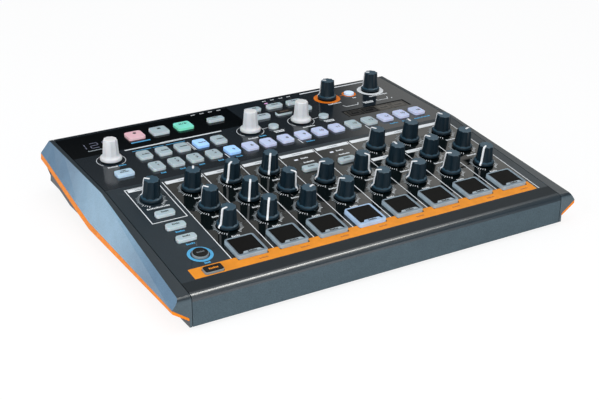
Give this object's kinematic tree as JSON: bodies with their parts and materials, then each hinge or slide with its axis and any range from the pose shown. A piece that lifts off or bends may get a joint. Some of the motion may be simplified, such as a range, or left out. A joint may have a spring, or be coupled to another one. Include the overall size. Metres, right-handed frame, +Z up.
{
  "type": "drum machine",
  "caption": "Compact analogue drum machine: sloping metal panel between bevelled end cheeks, with fluted knobs, rubber drum pads, step keys, white encoders and rear sockets.",
  "frame": {"origin": "centre of the bounding box, at the underside of the rubber feet", "axes": "+X towards the player's right, +Y towards the rear sockets, +Z up"},
  "size_m": [0.316, 0.244, 0.0585],
  "materials": {
    "panel_paint": "dark slate powder coat with a fine speckle, satin",
    "tray_paint": "dark satin powder coat",
    "cheek_paint": "steel blue powder coat, satin",
    "trim_orange": "orange, satin",
    "window_black": "gloss black",
    "strip_grey": "dark grey, satin gloss",
    "led_clear": "clear light guide",
    "board_green": "green solder mask",
    "control_steel": "plated steel can",
    "socket_nickel": "nickel plated",
    "socket_black": "black moulded",
    "foot_rubber": "matte black rubber",
    "screw_steel": "black zinc",
    "knob_slate": "dark slate, soft satin",
    "encoder_white": "white, satin gloss",
    "pad_rubber": "blue-grey rubber frame with a near-black inset",
    "key_grey": "translucent grey silicone",
    "key_lavender": "translucent silicone, lit lavender",
    "key_pink": "translucent silicone, lit pink",
    "key_mint": "translucent silicone, lit mint",
    "power_cap": "light grey",
    "print_white": "white print",
    "print_blue": "light blue print",
    "print_orange": "orange print"
  },
  "bodies": {
    "case": {"top_panel": "panel_paint", "rear_panel": "panel_paint", "bottom_tray": "tray_paint", "left_cheek": "cheek_paint", "right_cheek": "cheek_paint", "side_trims": "trim_orange", "display_window": "window_black", "touch_strip": "strip_grey", "led_lenses": "led_clear", "control_boards": "board_green", "rotary_bodies": "control_steel", "jack_sockets": "socket_nickel", "midi_sockets": "socket_black", "power_usb_inlets": "socket_black", "rubber_feet": "foot_rubber", "screws": "screw_steel"},
    "kick_pitch_knob_body": {"kick_pitch_knob": "knob_slate"},
    "kick_decay_knob_body": {"kick_decay_knob": "knob_slate"},
    "kick_level_knob_body": {"kick_level_knob": "knob_slate"},
    "snare1_snap_knob_body": {"snare1_snap_knob": "knob_slate"},
    "snare1_decay_knob_body": {"snare1_decay_knob": "knob_slate"},
    "snare1_level_knob_body": {"snare1_level_knob": "knob_slate"},
    "snare2_tone_knob_body": {"snare2_tone_knob": "knob_slate"},
    "snare2_decay_knob_body": {"snare2_decay_knob": "knob_slate"},
    "snare2_level_knob_body": {"snare2_level_knob": "knob_slate"},
    "tom_pitch_knob_body": {"tom_pitch_knob": "knob_slate"},
    "tom_level_knob_body": {"tom_level_knob": "knob_slate"},
    "cymbal_decay_knob_body": {"cymbal_decay_knob": "knob_slate"},
    "cymbal_level_knob_body": {"cymbal_level_knob": "knob_slate"},
    "fm_carrier_knob_body": {"fm_carrier_knob": "knob_slate"},
    "closed_hat_tone_knob_body": {"closed_hat_tone_knob": "knob_slate"},
    "closed_hat_level_knob_body": {"closed_hat_level_knob": "knob_slate"},
    "fm_decay_knob_body": {"fm_decay_knob": "knob_slate"},
    "open_hat_decay_knob_body": {"open_hat_decay_knob": "knob_slate"},
    "open_hat_level_knob_body": {"open_hat_level_knob": "knob_slate"},
    "fm_amount_knob_body": {"fm_amount_knob": "knob_slate"},
    "fm_pitch_knob_body": {"fm_pitch_knob": "knob_slate"},
    "fm_level_knob_body": {"fm_level_knob": "knob_slate"},
    "metronome_knob_body": {"metronome_knob": "knob_slate"},
    "drive_knob_body": {"drive_knob": "knob_slate"},
    "volume_knob_body": {"volume_knob": "knob_slate"},
    "tempo_encoder_body": {"tempo_encoder": "encoder_white"},
    "swing_encoder_body": {"swing_encoder": "encoder_white"},
    "random_encoder_body": {"random_encoder": "encoder_white"},
    "kick_pad_body": {"kick_pad": "pad_rubber"},
    "snare1_pad_body": {"snare1_pad": "pad_rubber"},
    "snare2_pad_body": {"snare2_pad": "pad_rubber"},
    "tom_pad_body": {"tom_pad": "pad_rubber"},
    "cymbal_pad_body": {"cymbal_pad": "pad_rubber"},
    "closed_hat_pad_body": {"closed_hat_pad": "pad_rubber"},
    "open_hat_pad_body": {"open_hat_pad": "pad_rubber"},
    "fm_pad_body": {"fm_pad": "pad_rubber"},
    "record_key_body": {"record_key": "key_pink"},
    "stop_key_body": {"stop_key": "key_grey"},
    "play_key_body": {"play_key": "key_mint"},
    "step_keys_body": {"step_keys": "key_lavender"},
    "mode_keys_body": {"mode_keys": "key_grey"},
    "rear_keys_body": {"rear_keys": "key_grey"},
    "front_keys_body": {"front_keys": "key_grey"},
    "power_button_body": {"power_button": "power_cap"}
  },
  "joints": [
    {"name": "kick_pitch_knob_turn", "type": "hinge", "parent": "case", "child": "kick_pitch_knob_body", "pos_m": [-0.0895, -0.01014, 0.03755], "axis": [0, 0.1272, -0.9919], "range_deg": [-170, 130]},
    {"name": "kick_decay_knob_turn", "type": "hinge", "parent": "case", "child": "kick_decay_knob_body", "pos_m": [-0.0895, -0.03607, 0.03422], "axis": [0, 0.1272, -0.9919], "range_deg": [-144, 156]},
    {"name": "kick_level_knob_turn", "type": "hinge", "parent": "case", "child": "kick_level_knob_body", "pos_m": [-0.0895, -0.06201, 0.03089], "axis": [0, 0.1272, -0.9919], "range_deg": [-57, 243]},
    {"name": "snare1_snap_knob_turn", "type": "hinge", "parent": "case", "child": "snare1_snap_knob_body", "pos_m": [-0.05928, -0.01014, 0.03755], "axis": [0, 0.1272, -0.9919], "range_deg": [-24, 276]},
    {"name": "snare1_decay_knob_turn", "type": "hinge", "parent": "case", "child": "snare1_decay_knob_body", "pos_m": [-0.05928, -0.03607, 0.03422], "axis": [0, 0.1272, -0.9919], "range_deg": [-5, 295]},
    {"name": "snare1_level_knob_turn", "type": "hinge", "parent": "case", "child": "snare1_level_knob_body", "pos_m": [-0.05928, -0.06201, 0.03089], "axis": [0, 0.1272, -0.9919], "range_deg": [-6, 294]},
    {"name": "snare2_tone_knob_turn", "type": "hinge", "parent": "case", "child": "snare2_tone_knob_body", "pos_m": [-0.02906, -0.01014, 0.03755], "axis": [0, 0.1272, -0.9919], "range_deg": [-5, 295]},
    {"name": "snare2_decay_knob_turn", "type": "hinge", "parent": "case", "child": "snare2_decay_knob_body", "pos_m": [-0.02906, -0.03607, 0.03422], "axis": [0, 0.1272, -0.9919], "range_deg": [-265, 35]},
    {"name": "snare2_level_knob_turn", "type": "hinge", "parent": "case", "child": "snare2_level_knob_body", "pos_m": [-0.02906, -0.06201, 0.03089], "axis": [0, 0.1272, -0.9919], "range_deg": [-196, 104]},
    {"name": "tom_pitch_knob_turn", "type": "hinge", "parent": "case", "child": "tom_pitch_knob_body", "pos_m": [0.00116, -0.03607, 0.03422], "axis": [0, 0.1272, -0.9919], "range_deg": [-93, 207]},
    {"name": "tom_level_knob_turn", "type": "hinge", "parent": "case", "child": "tom_level_knob_body", "pos_m": [0.00116, -0.06201, 0.03089], "axis": [0, 0.1272, -0.9919], "range_deg": [-134, 166]},
    {"name": "cymbal_decay_knob_turn", "type": "hinge", "parent": "case", "child": "cymbal_decay_knob_body", "pos_m": [0.03138, -0.03607, 0.03422], "axis": [0, 0.1272, -0.9919], "range_deg": [-275, 25]},
    {"name": "cymbal_level_knob_turn", "type": "hinge", "parent": "case", "child": "cymbal_level_knob_body", "pos_m": [0.03138, -0.06201, 0.03089], "axis": [0, 0.1272, -0.9919], "range_deg": [-123, 177]},
    {"name": "fm_carrier_knob_turn", "type": "hinge", "parent": "case", "child": "fm_carrier_knob_body", "pos_m": [0.0616, -0.01014, 0.03755], "axis": [0, 0.1272, -0.9919], "range_deg": [-158, 142]},
    {"name": "closed_hat_tone_knob_turn", "type": "hinge", "parent": "case", "child": "closed_hat_tone_knob_body", "pos_m": [0.0616, -0.03607, 0.03422], "axis": [0, 0.1272, -0.9919], "range_deg": [-172, 128]},
    {"name": "closed_hat_level_knob_turn", "type": "hinge", "parent": "case", "child": "closed_hat_level_knob_body", "pos_m": [0.0616, -0.06201, 0.03089], "axis": [0, 0.1272, -0.9919], "range_deg": [-118, 182]},
    {"name": "fm_decay_knob_turn", "type": "hinge", "parent": "case", "child": "fm_decay_knob_body", "pos_m": [0.09182, -0.01014, 0.03755], "axis": [0, 0.1272, -0.9919], "range_deg": [-172, 128]},
    {"name": "open_hat_decay_knob_turn", "type": "hinge", "parent": "case", "child": "open_hat_decay_knob_body", "pos_m": [0.09182, -0.03607, 0.03422], "axis": [0, 0.1272, -0.9919], "range_deg": [-161, 139]},
    {"name": "open_hat_level_knob_turn", "type": "hinge", "parent": "case", "child": "open_hat_level_knob_body", "pos_m": [0.09182, -0.06201, 0.03089], "axis": [0, 0.1272, -0.9919], "range_deg": [-133, 167]},
    {"name": "fm_amount_knob_turn", "type": "hinge", "parent": "case", "child": "fm_amount_knob_body", "pos_m": [0.12204, -0.01014, 0.03755], "axis": [0, 0.1272, -0.9919], "range_deg": [-161, 139]},
    {"name": "fm_pitch_knob_turn", "type": "hinge", "parent": "case", "child": "fm_pitch_knob_body", "pos_m": [0.12204, -0.03607, 0.03422], "axis": [0, 0.1272, -0.9919], "range_deg": [-199, 101]},
    {"name": "fm_level_knob_turn", "type": "hinge", "parent": "case", "child": "fm_level_knob_body", "pos_m": [0.12204, -0.06201, 0.03089], "axis": [0, 0.1272, -0.9919], "range_deg": [-23, 277]},
    {"name": "metronome_knob_turn", "type": "hinge", "parent": "case", "child": "metronome_knob_body", "pos_m": [-0.1209, -0.01212, 0.0373], "axis": [0, 0.1272, -0.9919], "range_deg": [-90, 210]},
    {"name": "drive_knob_turn", "type": "hinge", "parent": "case", "child": "drive_knob_body", "pos_m": [0.0788, 0.08637, 0.04242], "axis": [0, 0.0309, -0.9995], "range_deg": [-110, 190]},
    {"name": "volume_knob_turn", "type": "hinge", "parent": "case", "child": "volume_knob_body", "pos_m": [0.1204, 0.08587, 0.0424], "axis": [0, 0.0309, -0.9995], "range_deg": [-120, 180]},
    {"name": "tempo_encoder_turn", "type": "hinge", "parent": "case", "child": "tempo_encoder_body", "pos_m": [-0.1216, 0.05518, 0.04145], "axis": [0, 0.0309, -0.9995], "continuous": true},
    {"name": "swing_encoder_turn", "type": "hinge", "parent": "case", "child": "swing_encoder_body", "pos_m": [-0.0086, 0.05568, 0.04147], "axis": [0, 0.0309, -0.9995], "continuous": true},
    {"name": "random_encoder_turn", "type": "hinge", "parent": "case", "child": "random_encoder_body", "pos_m": [0.0355, 0.05488, 0.04144], "axis": [0, 0.0309, -0.9995], "continuous": true},
    {"name": "kick_pad_press", "type": "slide", "parent": "case", "child": "kick_pad_body", "axis": [0, 0.1272, -0.9919], "range_m": [0, 0.0015], "stiffness_N_per_m": 900, "springref_m": -0.0004},
    {"name": "snare1_pad_press", "type": "slide", "parent": "case", "child": "snare1_pad_body", "axis": [0, 0.1272, -0.9919], "range_m": [0, 0.0015], "stiffness_N_per_m": 900, "springref_m": -0.0004},
    {"name": "snare2_pad_press", "type": "slide", "parent": "case", "child": "snare2_pad_body", "axis": [0, 0.1272, -0.9919], "range_m": [0, 0.0015], "stiffness_N_per_m": 900, "springref_m": -0.0004},
    {"name": "tom_pad_press", "type": "slide", "parent": "case", "child": "tom_pad_body", "axis": [0, 0.1272, -0.9919], "range_m": [0, 0.0015], "stiffness_N_per_m": 900, "springref_m": -0.0004},
    {"name": "cymbal_pad_press", "type": "slide", "parent": "case", "child": "cymbal_pad_body", "axis": [0, 0.1272, -0.9919], "range_m": [0, 0.0015], "stiffness_N_per_m": 900, "springref_m": -0.0004},
    {"name": "closed_hat_pad_press", "type": "slide", "parent": "case", "child": "closed_hat_pad_body", "axis": [0, 0.1272, -0.9919], "range_m": [0, 0.0015], "stiffness_N_per_m": 900, "springref_m": -0.0004},
    {"name": "open_hat_pad_press", "type": "slide", "parent": "case", "child": "open_hat_pad_body", "axis": [0, 0.1272, -0.9919], "range_m": [0, 0.0015], "stiffness_N_per_m": 900, "springref_m": -0.0004},
    {"name": "fm_pad_press", "type": "slide", "parent": "case", "child": "fm_pad_body", "axis": [0, 0.1272, -0.9919], "range_m": [0, 0.0015], "stiffness_N_per_m": 900, "springref_m": -0.0004},
    {"name": "record_key_press", "type": "slide", "parent": "case", "child": "record_key_body", "axis": [0, 0.0309, -0.9995], "range_m": [0, 0.0012], "stiffness_N_per_m": 700, "springref_m": -0.0004},
    {"name": "stop_key_press", "type": "slide", "parent": "case", "child": "stop_key_body", "axis": [0, 0.0309, -0.9995], "range_m": [0, 0.0012], "stiffness_N_per_m": 700, "springref_m": -0.0004},
    {"name": "play_key_press", "type": "slide", "parent": "case", "child": "play_key_body", "axis": [0, 0.0309, -0.9995], "range_m": [0, 0.0012], "stiffness_N_per_m": 700, "springref_m": -0.0004},
    {"name": "step_keys_press", "type": "slide", "parent": "case", "child": "step_keys_body", "axis": [0, 0.0309, -0.9995], "range_m": [0, 0.0012], "stiffness_N_per_m": 1500, "springref_m": -0.0004},
    {"name": "mode_keys_press", "type": "slide", "parent": "case", "child": "mode_keys_body", "axis": [0, 0.0309, -0.9995], "range_m": [0, 0.0012], "stiffness_N_per_m": 1500, "springref_m": -0.0004},
    {"name": "rear_keys_press", "type": "slide", "parent": "case", "child": "rear_keys_body", "axis": [0, 0.0309, -0.9995], "range_m": [0, 0.0012], "stiffness_N_per_m": 1500, "springref_m": -0.0004},
    {"name": "front_keys_press", "type": "slide", "parent": "case", "child": "front_keys_body", "axis": [0, 0.1272, -0.9919], "range_m": [0, 0.0012], "stiffness_N_per_m": 1500, "springref_m": -0.0004},
    {"name": "power_button_press", "type": "slide", "parent": "case", "child": "power_button_body", "axis": [0, -0.9694, -0.2453], "range_m": [0, 0.002], "stiffness_N_per_m": 700, "springref_m": -0.0004}
  ]
}
